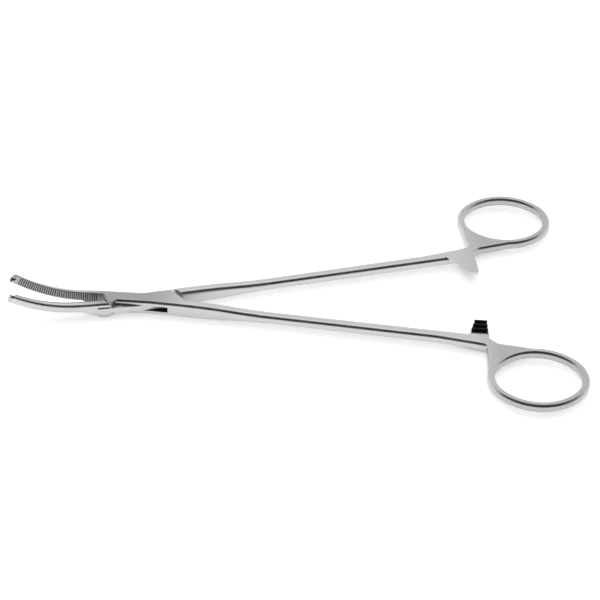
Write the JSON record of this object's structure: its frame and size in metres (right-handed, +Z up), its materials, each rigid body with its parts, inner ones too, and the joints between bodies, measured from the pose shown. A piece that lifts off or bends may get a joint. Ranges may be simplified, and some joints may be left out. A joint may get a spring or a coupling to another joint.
{
  "type": "hemostatic forceps",
  "caption": "Ring-handled box-lock forceps with upward curved serrated jaws, shown partly open, with a ratchet on arms between the shanks.",
  "frame": {"origin": "on the pivot axis, at the underside of the box", "axes": "+X from the pivot to the finger rings along the box half's closing plane, +Z up along the pivot axis to the side the jaws curve to, +Y towards the neck half's shank"},
  "size_m": [0.1976, 0.1096, 0.0124],
  "materials": {
    "satin_steel": "satin",
    "neck_steel": "satin",
    "pin_steel": "satin"
  },
  "bodies": {
    "box_side": {"box_half": "satin_steel", "pivot_pin": "pin_steel"},
    "neck_side": {"neck_half": "neck_steel"}
  },
  "joints": [
    {"name": "box_lock_pivot", "type": "hinge", "parent": "box_side", "child": "neck_side", "pos_m": [0, 0, 0.0029], "axis": [0, 0, 1], "range_deg": [-12, 48]}
  ]
}
